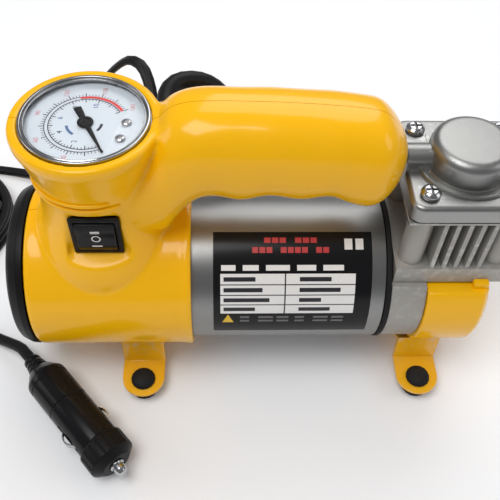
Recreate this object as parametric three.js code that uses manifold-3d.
// Portable tire inflator: a 12 V motor in a steel tube drives a one-cylinder air pump.
// Millimetres, +Z up. X runs along the motor's axis, from the gauge end to the pump end.
import * as THREE from 'three';
import { mergeVertices } from 'three/addons/utils/BufferGeometryUtils.js';
import { ParametricGeometry } from 'three/addons/geometries/ParametricGeometry.js';
import Module from 'manifold-3d';

const wasm = await Module();
wasm.setup();

// ---- driving sizes ------------------------------------------------------------------------
const gap = 0.3; // between pieces that rest on each other
const axisHeight = 50; // motor axis above the ground

const tubeRadius = 36;
const tubeWall = 1.8;
const tubeStart = -99;
const tubeEnd = 57;

const barrelWall = 2.9;
const barrelStart = -104;
const barrelEnd = -30.6;
const barrelRadius = tubeRadius + gap + barrelWall;
const shellWall = 2.6;

const capLength = 9;
const gaugeX = -70;
const ringRadius = 30.2;
const ringTop = 92.8;
const bezelRadius = 26.6;
const neckCavity = 19;
const pocketFloor = 70;
const pocketStep = 84; // the gauge case is a narrow can below this height
const caseRadius = bezelRadius - 4;
const dialHeight = 89.6; // printed face of the dial

const handleHalfWidth = 20.5;
const handleTop = 101.5;
const handleEnd = 59.3;
const handleGrip = 58.5; // underside of the grip above the axis

const switchX = gaugeX + 1;
const switchZ = 49.4;
const switchWidth = 21;
const switchTall = 21.8;
const panelY = -22.2;

const gasketThick = 2.4;
const crankcaseRadius = 36;
const crankcaseStart = tubeEnd + gap;
const castingStart = crankcaseStart + gasketThick + gap;
const castingEnd = 76;
const coverEnd = 105;
const coverRadius = 38;
const coverWall = 2.8;
const deckHeight = 20; // flat top of the crankcase
const headX = 86.6;
const headHalf = 27;
const blockTop = 59.5;
const bore = 14.3;
const throwRadius = 6;
const rodLength = 31;
const headThick = 10.2;
const domeRadius = 17.5;
const outletHeight = 73;
const screwSpacing = 19; // half the distance between head screws

const footX = [-56.5, 82.5];
const footY = 42.5;
const strapWidth = 21;
const strapThick = 1.6;
const tabHeight = -43; // underside of the bracket's tabs
const footRadius = 7;

const shaftRadius = 4;
const armatureRadius = 25.5;

const cordWidth = 5.8;
const cordThick = 3.2;
const hoseRadius = 4.2;
const plugAngle = -49 * Math.PI / 180;
const plugStart = [-113.5, -32.5];
const plugRadius = 10.2;

const rearEnd = barrelStart - gap - capLength;
const bodyShift = -(rearEnd + headX + headHalf) / 2;

// ---- shaping helpers ----------------------------------------------------------------------

// Closed solid from a geometry: shared corners merged, slivers on a pole dropped.
function solid(geometry) {
  const bare = geometry.clone();
  bare.deleteAttribute('normal');
  bare.deleteAttribute('uv');
  const merged = mergeVertices(bare, 1e-4);
  const index = merged.index.array;
  const kept = [];
  for (let i = 0; i < index.length; i += 3) {
    const [a, b, c] = [index[i], index[i + 1], index[i + 2]];
    if (a !== b && b !== c && c !== a) kept.push(a, b, c);
  }
  const mesh = new wasm.Mesh({
    numProp: 3,
    vertProperties: new Float32Array(merged.attributes.position.array),
    triVerts: new Uint32Array(kept),
  });
  mesh.merge(); // closes a seam whose two sides rounded apart
  return new wasm.Manifold(mesh);
}

function geometryOf(shape) {
  const mesh = shape.getMesh();
  const geometry = new THREE.BufferGeometry();
  geometry.setAttribute('position', new THREE.BufferAttribute(mesh.vertProperties, 3));
  geometry.setIndex(new THREE.BufferAttribute(mesh.triVerts, 1));
  return geometry;
}

const turnTo = {
  x: new THREE.Matrix4().makeRotationZ(-Math.PI / 2),
  y: new THREE.Matrix4(),
  z: new THREE.Matrix4().makeRotationX(Math.PI / 2),
};

// Solid of revolution: [radius, height] points, going round the section, about an axis.
function revolve(points, axis, centre = [0, 0, 0], segments = 24) {
  const area = points.reduce((sum, [r, h], i) => {
    const [nextR, nextH] = points[(i + 1) % points.length];
    return sum + r * nextH - nextR * h;
  }, 0);
  const ordered = area > 0 ? points.slice() : points.slice().reverse();
  const closed = !points.some(([r]) => r === 0);
  // A section that touches the axis starts and ends there.
  const first = Math.max(0, ordered.findIndex(([r], i) => r === 0 && ordered.at(i - 1)[0] === 0));
  const turned = [...ordered.slice(first), ...ordered.slice(0, first)];
  const outline = turned.map(([r, h]) => new THREE.Vector2(r, h));
  if (closed) outline.push(outline[0].clone());
  const geometry = new THREE.LatheGeometry(outline, segments);
  geometry.applyMatrix4(turnTo[axis]);
  geometry.translate(...centre);
  return solid(geometry);
}

const rod = (radius, from, to, axis, centre, segments = 16) =>
  revolve([[0, from], [radius, from], [radius, to], [0, to]], axis, centre, segments);

const ring = (inner, outer, from, to, axis, centre, segments = 24) =>
  revolve([[inner, from], [outer, from], [outer, to], [inner, to]], axis, centre, segments);

function block(x0, x1, y0, y1, z0, z1) {
  const geometry = new THREE.BoxGeometry(x1 - x0, y1 - y0, z1 - z0);
  geometry.translate((x0 + x1) / 2, (y0 + y1) / 2, (z0 + z1) / 2);
  return solid(geometry);
}

const basisFor = {
  x: [[0, 1, 0], [0, 0, 1], [1, 0, 0]],
  y: [[-1, 0, 0], [0, 0, 1], [0, 1, 0]],
  z: [[1, 0, 0], [0, 1, 0], [0, 0, 1]],
};

// Prism: outline in the two axes across `axis` (for y the first one is -X), from..to along it.
function prism(points, from, to, axis) {
  const shape = new THREE.Shape(points.map(([u, v]) => new THREE.Vector2(u, v)));
  const geometry = new THREE.ExtrudeGeometry(shape, { depth: to - from, bevelEnabled: false });
  geometry.translate(0, 0, from);
  const [a, b, c] = basisFor[axis].map((v) => new THREE.Vector3(...v));
  geometry.applyMatrix4(new THREE.Matrix4().makeBasis(a, b, c));
  return solid(geometry);
}

const circlePoints = (radius, count, cu = 0, cv = 0, from = 0, to = 2 * Math.PI) =>
  Array.from({ length: count }, (_, i) => {
    const angle = from + (to - from) * i / (to - from >= 2 * Math.PI ? count : count - 1);
    return [cu + radius * Math.cos(angle), cv + radius * Math.sin(angle)];
  });

// Tube of any section swept along a smooth curve through the points.
function sweep(points, section, steps) {
  const curve = new THREE.CatmullRomCurve3(points.map((p) => new THREE.Vector3(...p)), false, 'centripetal');
  const shape = new THREE.Shape(section.map(([u, v]) => new THREE.Vector2(u, v)));
  return solid(new THREE.ExtrudeGeometry(shape, { extrudePath: curve, steps }));
}

const union = (first, ...rest) => rest.reduce((sum, piece) => sum.add(piece), first);
const cut = (first, ...rest) => rest.reduce((sum, piece) => sum.subtract(piece), first);

const spline = (points) => new THREE.SplineCurve(points.map(([x, z]) => new THREE.Vector2(x, z)));

// Height of a spline at x, for a curve that always runs towards +X.
function heightAt(curve, x) {
  let [low, high] = [0, 1];
  for (let i = 0; i < 24; i += 1) {
    const middle = (low + high) / 2;
    if (curve.getPoint(middle).x < x) low = middle;
    else high = middle;
  }
  return curve.getPoint(low).y;
}

// ---- finishes -----------------------------------------------------------------------------
const finish = (color, roughness, metalness = 0) => ({ color, roughness, metalness });
const looks = {
  yellow: finish(0xf2b705, 0.25),
  yellowPaint: finish(0xf0b40c, 0.35),
  black: finish(0x17181a, 0.45),
  rubber: finish(0x1c1c1d, 0.75),
  steel: finish(0xb9bbbd, 0.35, 0.9),
  cast: finish(0xa7a49d, 0.55, 0.8),
  chrome: finish(0xd8dadb, 0.12, 1),
  brass: finish(0xc9a24a, 0.3, 0.9),
  copper: finish(0xb06a3a, 0.35, 0.9),
  magnet: finish(0x3a3a3d, 0.6),
  white: finish(0xeeeeea, 0.5),
  glass: finish(0xdfe8ea, 0.05),
  label: finish(0x101012, 0.2),
  carbon: finish(0x2b2b2c, 0.8),
};

const machine = new THREE.Group();
machine.position.set(bodyShift, 0, axisHeight);
const inflator = new THREE.Group();
inflator.add(machine);

function addTo(parent, name, shape, look) {
  const material = new THREE.MeshStandardMaterial(look);
  const mesh = new THREE.Mesh(geometryOf(shape), material);
  mesh.name = name;
  parent.add(mesh);
  return mesh;
}
const add = (name, shape, look) => addTo(machine, name, shape, look);

// ---- moulded housing: barrel, gauge neck and handle, split into two halves ----------------

// Handle grip: top and underside run as splines, its section is a rounded oblong.
function handleSolid(inset) {
  const top = spline([[-62, 68], [-52, 76], [-46, 84], [-41.5, 93], [-37, handleTop - 3.5],
    [-30, handleTop - 0.6], [-5, handleTop], [25, handleTop - 1.5], [45, handleTop - 4],
    [54, handleTop - 7], [handleEnd, handleTop - 9]]);
  const under = spline([[-62, 40], [-50, 37], [-41, 37], [-37, 44], [-32, 52], [-26, handleGrip],
    [-20, handleGrip + 1.3], [-9, handleGrip - 1.5], [2.5, handleGrip + 1.5],
    [16, handleGrip - 1], [28, handleGrip + 1.2], [36, handleGrip - 3], [44, handleGrip - 5.5],
    [52, handleGrip - 3], [handleEnd, handleGrip + 4]]);
  const start = -61 + inset;
  const end = handleEnd - inset;
  const rounding = 15;
  const shape = (u, v, target) => {
    // More stations towards the rounded end.
    const x = start + (end - start) * Math.sin(u * Math.PI / 2);
    const roundAt = Math.max(0, (x - (end - rounding)) / rounding);
    const left = Math.min(1, (x - start) / 3);
    const scale = Math.sqrt(Math.max(0, 1 - roundAt * roundAt)) * Math.sqrt(left);
    const high = heightAt(top, x) - inset;
    const low = heightAt(under, x) + inset;
    const middle = (high + low) / 2;
    const angle = -v * 2 * Math.PI;
    const squared = (value) => Math.sign(value) * Math.abs(value) ** 0.84;
    const y = (handleHalfWidth - inset) * squared(Math.cos(angle)) * scale;
    const z = (high - low) / 2 * squared(Math.sin(angle)) * scale;
    target.set(x, y, middle + z);
  };
  const body = solid(new ParametricGeometry(shape, inset ? 12 : 28, inset ? 10 : 20));
  return body;
}

function neckSolid() {
  return revolve([[0, 8], [33, 8], [33.2, 20], [32.6, 28], [31, 34], [28.4, 40.5], [25.9, 48],
    [24.7, 56], [24.7, 64], [25.6, 72], [27.6, 80], [ringRadius - 0.9, 86], [ringRadius, 88.6],
    [ringRadius, ringTop - 0.9], [ringRadius - 0.9, ringTop], [0, ringTop]],
  'z', [gaugeX, 0, 0], 40);
}

function barrelSolid() {
  const lip = 0.5;
  return revolve([[0, barrelStart], [barrelRadius - 1.6, barrelStart], [barrelRadius, barrelStart + 2],
    [barrelRadius, barrelEnd - 3.4], [barrelRadius + lip, barrelEnd - 2.8],
    [barrelRadius + lip, barrelEnd - 0.6], [barrelRadius, barrelEnd], [0, barrelEnd]],
  'x', [0, 0, 0], 48);
}

const housingScrews = [[-22, 86], [38, 84]];
const hoseExit = [-42, 69];
const cordExit = [-49, 53];
const hoseHole = 4.6;
const cordHole = 4.2;

function housingSolid() {
  let body = union(barrelSolid(), neckSolid(), handleSolid(0));
  // Each outlet leaves the back wall through a short boss with a flat face.
  const outlets = [[hoseExit, hoseHole], [cordExit, cordHole]];
  for (const [[x, z], hole] of outlets) {
    body = union(body, rod(hole + 2.6, handleHalfWidth - 6, handleHalfWidth, 'y', [x, 0, z], 24));
  }
  const neckInside = revolve([[0, 30], [neckCavity, 30], [neckCavity, pocketFloor], [0, pocketFloor]],
    'z', [gaugeX, 0, 0], 28);
  const pocket = revolve([[0, pocketFloor - 0.01], [caseRadius + gap, pocketFloor - 0.01],
    [caseRadius + gap, pocketStep], [bezelRadius + gap, pocketStep], [bezelRadius + gap, ringTop + 5],
    [0, ringTop + 5]], 'z', [gaugeX, 0, 0], 40);
  const motorBore = rod(tubeRadius + gap, barrelStart - 5, barrelEnd + 5, 'x', [0, 0, 0], 48);
  const pipeHole = rod(5.4, handleEnd - 12, handleEnd + 5, 'x', [0, 0, outletHeight], 24);
  // The switch sits in a flat recess that runs out on a ramp below it.
  const [halfWide, halfTall] = [switchWidth / 2, switchTall / 2];
  const [recessTop, recessFloor] = [switchZ + halfTall + 1.3, switchZ - halfTall - 0.2];
  const panel = prism([[panelY, recessTop], [-40, recessTop], [-40, recessFloor - 5.3], [panelY, recessFloor]],
    switchX - halfWide - 2.6, switchX + halfWide + 2.6, 'x');
  const switchHole = block(switchX - halfWide + 0.7, switchX + halfWide - 0.7, -40, -10,
    switchZ - halfTall + 0.7, switchZ + halfTall - 0.7);
  body = cut(body, handleSolid(shellWall), neckInside, pocket, motorBore, pipeHole, panel, switchHole);
  for (const [[x, z], hole] of outlets) body = cut(body, rod(hole, 10, 40, 'y', [x, 0, z], 24));
  return body;
}

function addHousing() {
  const whole = housingSolid();
  const big = 300;
  const frontHalf = block(-big, big, -big, -gap / 2, -big, big);
  const backHalf = block(-big, big, gap / 2, big, -big, big);
  let front = whole.intersect(frontHalf);
  let back = whole.intersect(backHalf);
  housingScrews.forEach(([x, z], i) => {
    const centre = [x, 0, z];
    const inside = handleHalfWidth - shellWall / 2 - 0.6;
    front = cut(union(front, rod(3.8, -inside, -gap / 2, 'y', centre, 24)),
      rod(1.5, -11, 5, 'y', centre, 16));
    back = cut(union(back, rod(3.8, gap / 2, inside, 'y', centre, 24)),
      rod(1.8, -1, 30, 'y', centre, 16), rod(3.4, 12, 40, 'y', centre, 24));
    add(`housing_screw_${i + 1}`, screwSolid(1.2, 3, 2, 21, 0.8, 12 + gap, centre), looks.steel);
  });
  add('housing_front_shell', front, looks.yellow);
  add('housing_back_shell', back, looks.yellow);
}

// Pan-head screw with a cross recess, along an axis, its head's underside at `seat`.
function screwSolid(shank, headRadius, headTall, length, slot, seat, centre, axis = 'y') {
  let body = revolve([[0, seat - length], [shank, seat - length], [shank, seat], [headRadius, seat],
    [headRadius, seat + headTall * 0.45], [headRadius * 0.8, seat + headTall * 0.85],
    [headRadius * 0.45, seat + headTall], [0, seat + headTall]], axis, centre, 12);
  const reach = headRadius * 0.55;
  const depth = [seat + headTall * 0.45, seat + headTall + 1];
  const [x, y, z] = centre;
  const arms = axis === 'y'
    ? [block(x - reach, x + reach, y + depth[0], y + depth[1], z - slot / 2, z + slot / 2),
      block(x - slot / 2, x + slot / 2, y + depth[0], y + depth[1], z - reach, z + reach)]
    : [block(x - reach, x + reach, y - slot / 2, y + slot / 2, z + depth[0], z + depth[1]),
      block(x - slot / 2, x + slot / 2, y - reach, y + reach, z + depth[0], z + depth[1])];
  body = cut(body, ...arms);
  return body;
}

function addRearCap() {
  const start = barrelStart - gap;
  const spigot = tubeRadius - tubeWall - gap;
  const hub = 11 + gap;
  const body = revolve([[0, start - capLength], [31, start - capLength], [36.4, start - capLength + 2.2],
    [barrelRadius - 0.5, start - capLength + 6.2], [barrelRadius - 0.3, start], [spigot, start], [spigot, start + 8], [spigot - 2, start + 8],
    [spigot - 2, start - 4], [hub + 2.2, start - 4], [hub + 2.2, start + 8], [hub, start + 8],
    [hub, start - 1.5], [0, start - 1.5]], 'x', [0, 0, 0], 32);
  add('rear_end_cap', body, looks.black);
  add('rear_bearing', ring(shaftRadius + gap, 11, start - 1.2, start + 6, 'x', [0, 0, 0], 20), looks.brass);
}

// ---- pressure gauge -----------------------------------------------------------------------
function addGauge() {
  const centre = [gaugeX, 0, 0];
  const wallInside = bezelRadius - 1.6;
  const dialThick = 0.8;
  const ledge = dialHeight - dialThick - gap;
  const caseTop = ringTop - 1.7;
  const lensThick = 1;
  const stem = 5;
  const floor = pocketFloor + gap;
  const caseInside = caseRadius - 1.4;
  const shell = revolve([[0, floor - 9], [stem, floor - 9], [stem, floor], [caseRadius, floor],
    [caseRadius, pocketStep + gap], [bezelRadius, pocketStep + gap], [bezelRadius, caseTop],
    [wallInside, caseTop], [wallInside, ledge], [caseInside, ledge], [caseInside, floor + 1.4],
    [0, floor + 1.4]], 'z', centre, 32);
  add('gauge_case', shell, looks.steel);
  const bezelFloor = caseTop + gap;
  const lensTop = bezelFloor + lensThick;
  const bezelTop = lensTop + 1.1;
  const lipRadius = 23.3;
  const bezel = revolve([[wallInside, bezelFloor], [bezelRadius, bezelFloor],
    [bezelRadius, bezelTop - 0.6], [bezelRadius - 0.7, bezelTop], [lipRadius, bezelTop - 0.4],
    [lipRadius, lensTop + gap], [wallInside, lensTop + gap]], 'z', centre, 32);
  add('gauge_bezel', bezel, looks.chrome);
  add('gauge_lens', rod(wallInside - gap, bezelFloor, lensTop, 'z', centre, 28), looks.glass);
  const screwSpots = [[15.9, 0.2], [14.2, -8.8]];
  let dial = rod(wallInside - gap, ledge + gap, dialHeight, 'z', centre, 32);
  dial = cut(dial, rod(1.9, ledge - 1, dialHeight + 1, 'z', centre, 20));
  screwSpots.forEach(([dx, dy], i) => {
    const spot = [gaugeX + dx, dy, 0];
    dial = cut(dial, rod(1.2, ledge - 1, dialHeight + 1, 'z', spot, 16));
    add(`dial_screw_${i + 1}`, screwSolid(0.9, 2, 1, 3.2, 0.6, dialHeight + gap, spot, 'z'), looks.steel);
  });
  add('gauge_dial', dial, looks.white);
  const zero = -64 * Math.PI / 180;
  const level = dialHeight + 0.6;
  const along = (radius, half) => [radius * Math.cos(zero) - half * Math.sin(zero),
    radius * Math.sin(zero) + half * Math.cos(zero)];
  const pointer = prism([along(-9.4, -1.5), along(-2, -1.1), along(18.8, -0.35), along(18.8, 0.35),
    along(-2, 1.1), along(-9.4, 1.5)].map(([x, y]) => [gaugeX + x, y]), level, level + 0.4, 'z');
  const spindle = revolve([[0, floor + 4], [1.1, floor + 4], [1.1, level], [3, level],
    [3, level + 0.5], [2.4, level + 0.8], [0, level + 0.8]], 'z', centre, 28);
  add('gauge_needle', union(spindle, pointer), looks.black);
  const bend = Array.from({ length: 13 }, (_, i) => {
    const angle = (40 + 270 * i / 12) * Math.PI / 180;
    return [gaugeX + 14.5 * Math.cos(angle), 14.5 * Math.sin(angle), floor + 6];
  });
  const flat = circlePoints(1, 6).map(([u, v]) => [u * 2.6, v * 1.3]);
  const foot = block(gaugeX + 9, gaugeX + 15, 8, 13, floor + 1.4 + gap, floor + 5.5);
  add('bourdon_tube', union(sweep(bend, flat, 14), foot), looks.brass);
}

// ---- three-position rocker switch ---------------------------------------------------------
const rockerPivot = panelY + 1.6;

function addSwitch() {
  const [halfWide, halfTall] = [switchWidth / 2, switchTall / 2];
  const face = panelY - gap;
  const flange = block(switchX - halfWide, switchX + halfWide, face - 1.8, face,
    switchZ - halfTall, switchZ + halfTall);
  const boxed = (inset, from, to) => block(switchX - halfWide + inset, switchX + halfWide - inset, from, to,
    switchZ - halfTall + inset, switchZ + halfTall - inset);
  const body = boxed(1, face - 0.5, face + 14);
  const well = boxed(2, face - 5, face + 12);
  const pins = [-6, 0, 6].map((dz) => block(switchX - 2.4, switchX + 2.4, face + 13.5, face + 20,
    switchZ + dz - 0.4, switchZ + dz + 0.4));
  add('switch_frame', union(cut(union(flange, body), well), ...pins), looks.black);
  const tip = rockerPivot - 5.6;
  const long = halfTall - 2.8;
  const wide = halfWide - 2 - gap;
  const profile = [[tip + 1.5, long], [tip + 0.6, 4.4], [tip + 0.9, 0], [tip + 0.6, -4.4], [tip + 1.5, -long],
    [rockerPivot + 1.5, -long], [rockerPivot + 6.5, -3.6], [rockerPivot + 7.5, 0], [rockerPivot + 6.5, 3.6],
    [rockerPivot + 1.5, long]].map(([y, z]) => [y, switchZ + z]);
  add('switch_rocker', prism(profile, switchX - wide, switchX + wide, 'x'), looks.black);
}

// ---- motor --------------------------------------------------------------------------------
function addMotor() {
  const inside = tubeRadius - tubeWall;
  add('motor_tube', ring(inside, tubeRadius, tubeStart, tubeEnd, 'x', [0, 0, 0], 48), looks.steel);
  const magnetOuter = inside - gap;
  const magnetInner = armatureRadius + 1.2;
  [['magnet_front', Math.PI], ['magnet_back', 0]].forEach(([name, facing]) => {
    const half = 62 * Math.PI / 180;
    const outline = [...circlePoints(magnetOuter, 15, 0, 0, facing - half, facing + half),
      ...circlePoints(magnetInner, 15, 0, 0, facing - half, facing + half).reverse()];
    add(name, prism(outline, -72, 18, 'x'), looks.magnet);
  });
  const slots = Array.from({ length: 7 }, (_, i) => {
    const angle = i * 2 * Math.PI / 7;
    const slot = [[9, -2.6], [18, -4.6], [armatureRadius - 2.6, -4.4], [armatureRadius - 2.4, -1.1],
      [armatureRadius + 3, -1.1], [armatureRadius + 3, 1.1], [armatureRadius - 2.4, 1.1],
      [armatureRadius - 2.6, 4.4], [18, 4.6], [9, 2.6]];
    const turned = slot.map(([u, v]) => [u * Math.cos(angle) - v * Math.sin(angle),
      u * Math.sin(angle) + v * Math.cos(angle)]);
    return prism(turned, -80, 30, 'x');
  });
  const stack = ring(shaftRadius + gap, armatureRadius, -68, 14, 'x', [0, 0, 0], 32);
  add('armature', cut(stack, ...slots), looks.steel);
  add('commutator', ring(shaftRadius + gap, 10, -88, -72, 'x', [0, 0, 0], 20), looks.copper);
  [['brush_front', -1], ['brush_back', 1]].forEach(([name, side]) => {
    const near = Math.min(side * (10 + gap), side * 24);
    const far = Math.max(side * (10 + gap), side * 24);
    add(name, block(-83, -77, near, far, -3, 3), looks.carbon);
  });
  const web = webStart - gap;
  const shaft = rod(shaftRadius, barrelStart - 1, web, 'x', [0, 0, 0], 24);
  add('motor_shaft', shaft, looks.chrome);
  add('motor_gasket', ring(25, crankcaseRadius + 0.6, crankcaseStart, crankcaseStart + gasketThick,
    'x', [0, 0, 0], 32), looks.rubber);
}

// ---- crankcase, crank and cylinder --------------------------------------------------------
const webStart = 75;
const webThick = 6;
const bearingEnd = 73;

function addCrankcase() {
  const spigot = 24.6;
  const wallEnd = bearingEnd + 1;
  const hub = 11 + gap;
  const insideRadius = 26;
  const plateauHalf = 19;
  let body = revolve([[hub, castingStart], [spigot, castingStart], [crankcaseRadius, castingStart],
    [crankcaseRadius, castingEnd], [30, castingEnd], [30, coverEnd - coverWall - 1],
    [insideRadius, coverEnd - coverWall - 1], [insideRadius, wallEnd], [hub, wallEnd]], 'x', [0, 0, 0], 32);
  body = union(body, block(castingStart, coverEnd - coverWall - 1.5, -plateauHalf, plateauHalf, 14, deckHeight));
  const above = block(0, 200, -60, 60, deckHeight, 90);
  const shaftway = rod(bore + 1.2, 5, 40, 'z', [headX, 0, 0], 32);
  const swing = rod(insideRadius, wallEnd, 140, 'x', [0, 0, 0], 48);
  body = cut(body, above, shaftway, swing.intersect(block(0, 200, -60, 60, -60, 15)));
  add('crankcase', body, looks.cast);
  add('front_bearing', ring(shaftRadius + gap, 11, castingStart + 1, bearingEnd, 'x', [0, 0, 0], 20), looks.steel);
  const coverStart = castingEnd + gap;
  let cover = revolve([[30 + gap, coverStart], [coverRadius, coverStart], [coverRadius, coverEnd - 3],
    [coverRadius - 3, coverEnd], [0, coverEnd], [0, coverEnd - coverWall], [30 + gap, coverEnd - coverWall]],
  'x', [0, 0, 0], 32);
  cover = cut(cover, block(0, 200, -60, 60, deckHeight - 1, 90),
    block(coverStart - 5, coverEnd - coverWall - 1, -plateauHalf - gap, plateauHalf + gap, 10, 60));
  add('pump_cover', cover, looks.yellow);
}

function addCrank() {
  const pin = webStart + webThick;
  const web = rod(14, webStart, pin, 'x', [0, 0, 0], 40);
  const cutaway = block(0, 200, -20, -9, -30, 30).add(block(0, 200, 9, 20, -30, 30));
  const crankPin = rod(3.4, pin - 1, headX + 6.6, 'x', [0, 0, -throwRadius], 24);
  add('crank_web', union(cut(web, cutaway), crankPin), looks.steel);
  const rodThick = 7;
  const from = headX - rodThick / 2;
  const to = headX + rodThick / 2;
  const small = rodLength - throwRadius;
  let arm = union(rod(7, from, to, 'x', [0, 0, -throwRadius], 20),
    block(from + 1, to - 1, -3, 3, -throwRadius, small), rod(5, from, to, 'x', [0, 0, small], 16),
    rod(2.2, headX - 7, headX + 7, 'x', [0, 0, small], 12));
  arm = cut(arm, rod(3.4 + gap, from - 1, to + 1, 'x', [0, 0, -throwRadius], 16));
  add('connecting_rod', arm, looks.steel);
  const crown = blockTop - 1.5 - 2 * throwRadius;
  const room = crown - 3;
  const skirt = small - 5;
  const piston = revolve([[0, crown], [bore - 0.4, crown], [bore - 0.4, crown - 2.5], [bore - 1.4, crown - 2.5],
    [bore - 1.4, crown - 4], [bore - 0.4, crown - 4], [bore - 0.4, skirt], [bore - 2.2, skirt],
    [bore - 2.2, room], [0, room]], 'z', [headX, 0, 0], 28);
  add('piston', piston, looks.cast);
}

function addCylinder() {
  const half = headHalf;
  const start = headX - half;
  const end = headX + half;
  const flangeTop = 30;
  const base = deckHeight + gap;
  let body = block(start + 0.8, end - 0.8, -half, half, base, flangeTop);
  body = union(body, rod(18.5, flangeTop - 2, blockTop, 'z', [headX, 0, 0], 28));
  const posts = [];
  for (const sx of [-1, 1]) {
    for (const sy of [-1, 1]) posts.push([headX + sx * screwSpacing, sy * screwSpacing, 0]);
  }
  posts.forEach((spot) => { body = union(body, rod(5.6, flangeTop - 2, blockTop, 'z', spot, 20)); });
  for (let i = -2; i <= 2; i += 1) {
    const x = headX + i * 5.3;
    body = union(body, block(x - 1, x + 1, -half + 0.8, half - 0.8, flangeTop - 2, blockTop));
  }
  body = cut(body, rod(bore, base - 5, blockTop + 5, 'z', [headX, 0, 0], 28),
    ...posts.map((spot) => rod(2.3, 36, blockTop + 5, 'z', spot, 16)));
  add('cylinder_block', body, looks.cast);

  const plateFrom = blockTop + gap;
  const plateTo = plateFrom + 1.2;
  let plate = block(start, end, -half, half, plateFrom, plateTo);
  plate = cut(plate, rod(2.6, plateFrom - 1, plateTo + 1, 'z', [headX - 6, 0, 0], 16),
    rod(2.6, plateFrom - 1, plateTo + 1, 'z', [headX + 6, 0, 0], 16),
    ...posts.map((spot) => rod(2.6, plateFrom - 1, plateTo + 1, 'z', spot, 16)));
  add('valve_plate', plate, looks.steel);

  const headFrom = plateTo + gap;
  const headTo = blockTop + headThick;
  const corner = 5;
  const outline = [[start + corner, -half], [end - corner, -half], [end, -half + corner], [end, half - corner],
    [end - corner, half], [start + corner, half], [start, half - corner], [start, -half + corner]];
  let head = prism(outline, headFrom, headTo, 'z');
  head = union(head, revolve([[0, headTo - 2], [domeRadius, headTo - 2], [domeRadius, headTo + 8.5],
    [domeRadius - 5, headTo + 12.5], [0, headTo + 12.5]], 'z', [headX, 0, 0], 32));
  head = union(head, rod(5.6, start, headX - 4, 'x', [0, 0, outletHeight], 28));
  head = cut(head, rod(3, start - 5, headX - 6, 'x', [0, 0, outletHeight], 20),
    rod(9, headFrom - 1, headTo + 5, 'z', [headX, 0, 0], 28),
    ...posts.map((spot) => rod(2.6, headFrom - 1, headTo + 1, 'z', spot, 16)));
  add('cylinder_head', head, looks.cast);
  posts.forEach((spot, i) => {
    add(`head_screw_${i + 1}`, screwSolid(2, 4.1, 2.9, 30, 1.1, headTo + gap, spot, 'z'), looks.chrome);
  });
}

function addAirPath() {
  const pipe = sweep([[headX - headHalf - gap, 0, outletHeight], [40, 0, outletHeight],
    [0, 0, 71.5], [-24, 0, 69.5], [-38, 0, 65], [-52, 0, 62.5], [gaugeX + 6, 0, 65]],
  circlePoints(3, 8), 16);
  add('air_pipe', pipe, looks.black);
  const [x, z] = hoseExit;
  const wallY = handleHalfWidth;
  add('hose_fitting', revolve([[0, 6], [2.5, 6], [2.5, 12], [hoseHole - gap, 12], [hoseHole - gap, wallY + gap + 0.2],
    [7, wallY + gap + 0.2], [7, wallY + 3], [5.6, wallY + 3.6], [5.6, wallY + 13], [0, wallY + 13]],
  'y', [x, 0, z], 20), looks.brass);
}

// ---- label, brackets and feet -------------------------------------------------------------
function addLabel() {
  const [low, high] = [-9.8, 74.7].map((angle) => angle * Math.PI / 180);
  const arc = (radius) => circlePoints(radius, 16, 0, 0, Math.PI - high, Math.PI - low);
  const outline = [...arc(tubeRadius + gap + 0.35), ...arc(tubeRadius + gap).reverse()];
  add('rating_label', prism(outline, -20.8, 50.5, 'x'), looks.label);
}

function addBracket(name, x, radius) {
  const inner = radius + gap;
  const outer = inner + strapThick;
  const spread = 50 * Math.PI / 180;
  const down = -Math.PI / 2;
  const legY = outer * Math.sin(spread);
  const arcOuter = circlePoints(outer, 13, 0, 0, down - spread, down + spread);
  const arcInner = circlePoints(inner, 13, 0, 0, down - spread, down + spread);
  const reach = footY + 9;
  const sheetTop = tabHeight + strapThick;
  const outline = [...arcInner.slice().reverse(),
    [-legY, sheetTop], [-reach, sheetTop], [-reach, tabHeight], [-legY + strapThick, tabHeight],
    ...arcOuter.slice(1, -1),
    [legY - strapThick, tabHeight], [reach, tabHeight], [reach, sheetTop], [legY, sheetTop]];
  let strap = prism(outline, x - strapWidth / 2, x + strapWidth / 2, 'x');
  const round = strapWidth / 2;
  const keep = union(block(x - round, x + round, -reach + round, reach - round, -80, 20),
    rod(round, -80, 20, 'z', [x, -reach + round, 0], 32), rod(round, -80, 20, 'z', [x, reach - round, 0], 32));
  strap = strap.intersect(keep);
  for (const side of [-1, 1]) strap = cut(strap, rod(3.3, -80, 20, 'z', [x, side * footY, 0], 20));
  add(name, strap, looks.yellowPaint);
}

function addFeet() {
  const sheetTop = tabHeight + strapThick;
  const under = tabHeight - gap;
  const over = sheetTop + gap;
  let count = 0;
  for (const x of footX) {
    for (const side of [-1, 1]) {
      count += 1;
      const foot = revolve([[0, -axisHeight], [footRadius - 0.8, -axisHeight], [footRadius, -axisHeight + 0.8],
        [footRadius - 0.4, under], [3, under], [3, over], [6.1, over], [5.9, over + 1.4], [4.6, over + 2.6],
        [2.4, over + 3.2], [0, over + 3.3]], 'z', [x, side * footY, 0], 16);
      add(`rubber_foot_${count}`, foot, looks.rubber);
    }
  }
}

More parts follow.
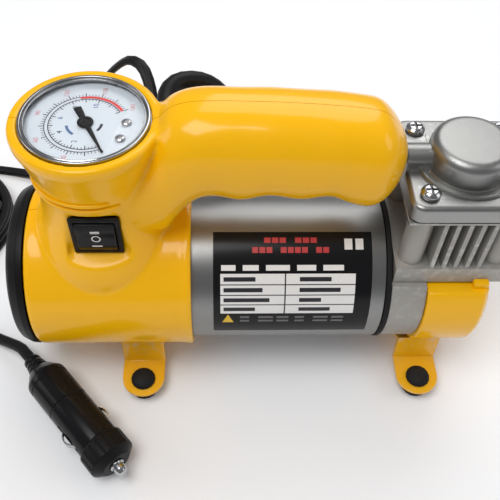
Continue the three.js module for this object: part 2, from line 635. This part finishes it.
// ---- power cord and car plug --------------------------------------------------------------
const cordPoints = [[-49.15, 36.8, 103], [-49.15, 43, 103.6], [-49.6, 51, 107.5], [-51.4, 59, 113.5],
  [-55, 66, 117.4], [-61, 71, 117], [-70, 75, 108.5], [-79, 79, 95], [-88, 83, 78], [-96, 87, 59],
  [-103.5, 91, 39], [-111, 95, 21], [-120.5, 99.5, 9.2], [-133, 104.5, 4.2], [-148, 109, 3.2],
  [-163, 111.8, 3.2], [-178, 112.6, 3.2]];
const leadPoints = [[-198.6, 19.3, 3.2], [-181, 14.2, 3.2], [-162, 6.2, 3.2], [-148, -5, 3.4], [-138, -13.5, 4.6],
  [-128.5, -19.5, 7.6], [-119.7, -25.4, 10.8], [-113.95, -31.9, 11.8]];
const coilCentre = [-186, 66];

function addCord() {
  const [x, z] = cordExit;
  const wallY = handleHalfWidth;
  const grommet = revolve([[0, 13], [cordHole - gap, 13], [cordHole - gap, wallY + gap + 0.2],
    [6, wallY + gap + 0.2], [6, wallY + 2.6], [4.6, wallY + 3.4], [3.6, wallY + 16], [0, wallY + 16]],
  'y', [x, 0, z], 24);
  add('cord_grommet', grommet, looks.rubber);
  const flat = circlePoints(1, 8).map(([u, v]) => [u * cordThick / 2, v * cordWidth / 2]);
  addTo(inflator, 'power_cord', sweep(cordPoints, flat, 28), looks.rubber);
  addTo(inflator, 'power_cord_lead', sweep(leadPoints, flat, 12), looks.rubber);
  const inner = 21;
  const outer = 45;
  const tall = 18.5;
  addTo(inflator, 'power_cord_coil', ring(inner, outer, 0.1, tall, 'z', [...coilCentre, 0], 40), looks.rubber);
}

// The plug is built along +Y and laid down along its own direction.
function addPlug() {
  const plug = new THREE.Group();
  plug.position.set(plugStart[0], plugStart[1], plugRadius + 1.6);
  plug.rotation.z = plugAngle - Math.PI / 2;
  inflator.add(plug);
  const bodyEnd = 60;
  const collarEnd = 73;
  const slot = [40, 57];
  const bowAt = (slot[0] + slot[1]) / 2;
  let body = revolve([[0, 0], [3.4, 0], [4.2, 8], [6.4, 9.4], [plugRadius, 14], [plugRadius, bodyEnd], [0, bodyEnd]],
    'y', [0, 0, 0], 24);
  body = cut(body, block(plugRadius - 5, plugRadius + 5, ...slot, -2.4, 2.4),
    block(-plugRadius - 5, -plugRadius + 5, ...slot, -2.4, 2.4));
  addTo(plug, 'plug_body', body, looks.black);
  const collar = revolve([[4, bodyEnd + gap], [plugRadius + 1.1, bodyEnd + gap], [plugRadius + 1.1, collarEnd - 3],
    [7, collarEnd], [4, collarEnd]], 'y', [0, 0, 0], 24);
  addTo(plug, 'plug_collar', collar, looks.black);
  const tip = revolve([[0, bodyEnd + 3.5], [3.6, bodyEnd + 3.5], [3.6, collarEnd + 3.4], [2.2, collarEnd + 5.6],
    [0, collarEnd + 6]], 'y', [0, 0, 0], 24);
  addTo(plug, 'plug_tip', tip, looks.chrome);
  [['plug_contact_left', -1], ['plug_contact_right', 1]].forEach(([name, side]) => {
    const bow = [[-7, 0], [-4, 0.6], [0, 2.6], [4, 0.6], [7, 0]].map(([y, out]) =>
      [side * (plugRadius - 1.4 + out), bowAt + y]);
    const inside = bow.map(([u, v]) => [u - side * 1.4, v]).reverse();
    addTo(plug, name, prism([...bow, ...inside], -1.6, 1.6, 'z'), looks.chrome);
  });
}

// ---- air hose and tyre chuck --------------------------------------------------------------
const hosePoints = [[-42.15, 33.9, 119], [-42.15, 38.5, 119.1], [-41.2, 44, 120.4], [-38, 49, 120.8],
  [-32.4, 52.6, 120], [-25, 54.6, 117.2], [-18.4, 55.4, 111.4], [-14.6, 55.8, 103], [-12.8, 56, 90],
  [-12, 56.2, 76], [-11.2, 56.6, 60], [-9.8, 57.4, 45], [-7, 58.2, 31], [-1.5, 59.2, 19], [7, 60, 10.4], [17.5, 60.4, 5.8],
  [29, 60.4, 4.6]];
const hoseCoilCentre = [29, 118];
const hoseCoilMiddle = 44;
const hoseCoilHalf = 9;
const hoseCoilTall = 17.2;

function addHose() {
  addTo(inflator, 'air_hose', sweep(hosePoints, circlePoints(hoseRadius, 8), 22), looks.rubber);
  addTo(inflator, 'air_hose_coil', ring(hoseCoilMiddle - hoseCoilHalf,
    hoseCoilMiddle + hoseCoilHalf, 0.1, hoseCoilTall, 'z', [...hoseCoilCentre, 0], 40), looks.rubber);
}

// Thumb-lever chuck, its hose end at the coil and its valve socket pointing up.
const chuckX = -62;
const chuckY = hoseCoilCentre[1];
const chuckRadius = 8.6;
const leverPivot = [chuckX - chuckRadius - 2.4, 22];

function addChuck() {
  const tail = hoseCoilCentre[0] - hoseCoilMiddle - hoseCoilHalf - gap;
  const level = 9.5;
  const [pivotX, pivotZ] = leverPivot;
  const across = [0, chuckY, level];
  let body = union(rod(5, chuckX + 6, tail, 'x', across), rod(6.4, chuckX + 4, chuckX + 12, 'x', across),
    rod(chuckRadius, 0.2, 24, 'z', [chuckX, chuckY, 0], 20));
  for (const side of [-1, 1]) {
    const [near, far] = [side * 3, side * 4.6].sort((a, b) => a - b);
    body = union(body, block(pivotX - 3, chuckX - 5, chuckY + near, chuckY + far, 12, pivotZ + 2.4));
  }
  body = cut(body, rod(4.3, 8, 40, 'z', [chuckX, chuckY, 0]));
  addTo(inflator, 'chuck_body', body, looks.brass);
  const half = 1.1;
  const root = block(pivotX - 6, pivotX + 1.5, chuckY - 2.6, chuckY + 2.6, pivotZ - half, pivotZ + half);
  const paddle = block(pivotX - 29, pivotX - 5, chuckY - 5.5, chuckY + 5.5, pivotZ - half, pivotZ + half);
  addTo(inflator, 'chuck_lever', union(root, paddle), looks.steel);
}

addHousing();
addRearCap();
addGauge();
addSwitch();
addMotor();
addCrankcase();
addCrank();
addCylinder();
addAirPath();
addLabel();
addBracket('foot_bracket_left', footX[0], barrelRadius);
addBracket('foot_bracket_right', footX[1], coverRadius);
addFeet();
addCord();
addPlug();
addHose();
addChuck();

export default inflator;
